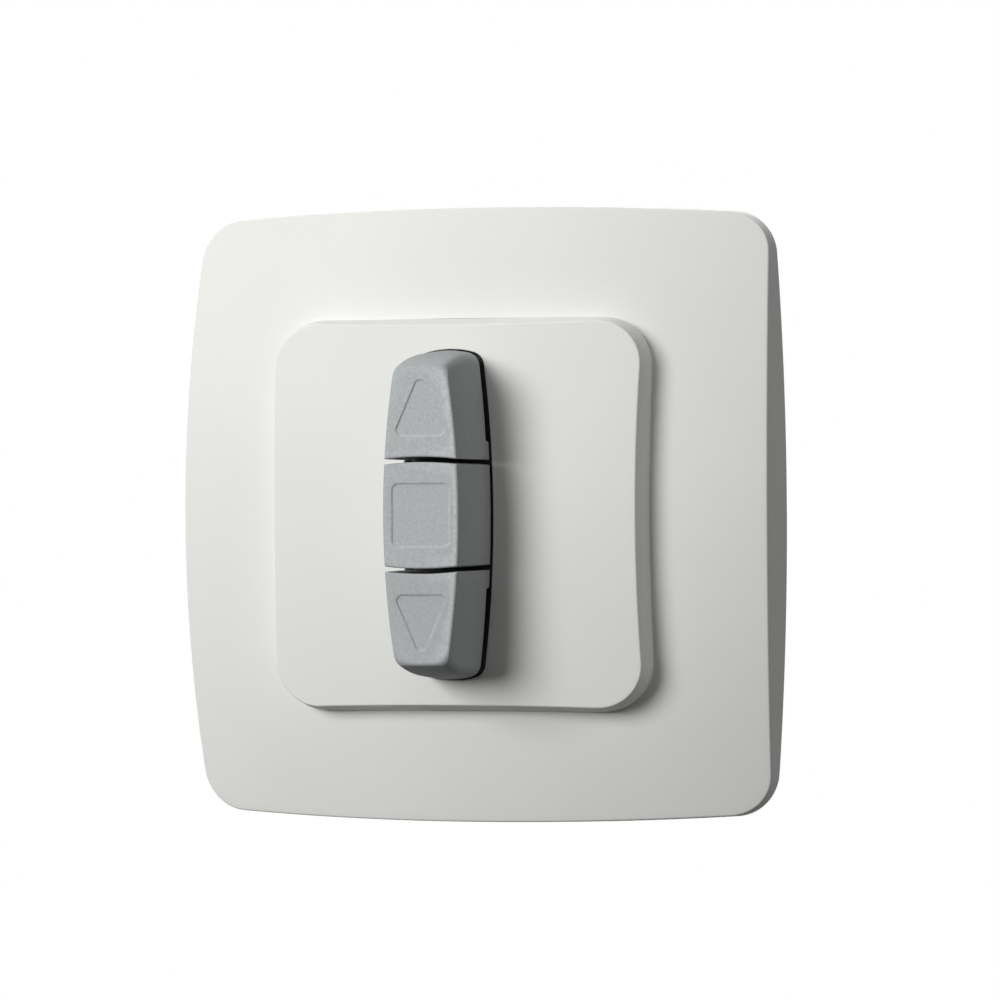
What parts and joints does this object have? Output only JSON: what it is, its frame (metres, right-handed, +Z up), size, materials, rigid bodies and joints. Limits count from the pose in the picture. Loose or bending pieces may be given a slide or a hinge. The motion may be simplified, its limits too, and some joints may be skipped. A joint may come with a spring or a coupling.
{
  "type": "roller shutter switch",
  "caption": "Flush wall switch for a roller shutter: domed white frame and plate, tall grey up, stop and down push keys in one strip, insert with screw terminals behind.",
  "frame": {"origin": "centre of the wall box screw circle, on the wall's face", "axes": "+X to the right, +Z up the wall, -Y out of the wall towards the user"},
  "size_m": [0.081, 0.0523, 0.081],
  "materials": {
    "white_plastic": "satin white moulded plastic",
    "key_plastic": "fine grained grey moulded plastic",
    "black_plastic": "matt black moulded plastic",
    "housing_plastic": "matt dark grey moulded plastic",
    "terminal_plastic": "matt black moulded plastic",
    "board": "green lacquered glass-fibre board",
    "component_plastic": "matt black component body",
    "capacitor_film": "glossy ochre component body",
    "varistor_lacquer": "blue lacquer",
    "plated_steel": "zinc plated sheet steel",
    "screw_steel": "zinc plated screw steel",
    "contact_brass": "plain brass",
    "spring_steel": "drawn spring wire"
  },
  "bodies": {
    "wall_unit": {"cover_frame": "white_plastic", "centre_plate": "white_plastic", "key_bed": "black_plastic", "key_board": "board", "board_screws": "screw_steel", "controller_chip": "component_plastic", "link_header": "black_plastic", "link_pins": "contact_brass", "support_plate": "plated_steel", "assembly_screws": "screw_steel", "insert_lid": "housing_plastic", "insert_housing": "housing_plastic", "power_board": "board", "up_relay": "component_plastic", "down_relay": "component_plastic", "dropper_capacitor": "capacitor_film", "smoothing_capacitor": "component_plastic", "varistor": "varistor_lacquer", "fuse": "component_plastic", "terminal_block": "terminal_plastic", "terminal_clamps": "contact_brass", "terminal_screws": "screw_steel", "up_switch": "component_plastic", "up_switch_spring": "spring_steel", "stop_switch": "component_plastic", "stop_switch_spring": "spring_steel", "down_switch": "component_plastic", "down_switch_spring": "spring_steel"},
    "up_button": {"up_key": "key_plastic", "up_switch_stem": "white_plastic"},
    "stop_button": {"stop_key": "key_plastic", "stop_switch_stem": "white_plastic"},
    "down_button": {"down_key": "key_plastic", "down_switch_stem": "white_plastic"}
  },
  "joints": [
    {"name": "up_key_press", "type": "slide", "parent": "wall_unit", "child": "up_button", "axis": [0, 1, 0], "range_m": [0, 0.001], "stiffness_N_per_m": 1200, "springref_m": -0.001, "deforming": ["up_switch_spring"]},
    {"name": "stop_key_press", "type": "slide", "parent": "wall_unit", "child": "stop_button", "axis": [0, 1, 0], "range_m": [0, 0.001], "stiffness_N_per_m": 1200, "springref_m": -0.001, "deforming": ["stop_switch_spring"]},
    {"name": "down_key_press", "type": "slide", "parent": "wall_unit", "child": "down_button", "axis": [0, 1, 0], "range_m": [0, 0.001], "stiffness_N_per_m": 1200, "springref_m": -0.001, "deforming": ["down_switch_spring"]}
  ]
}
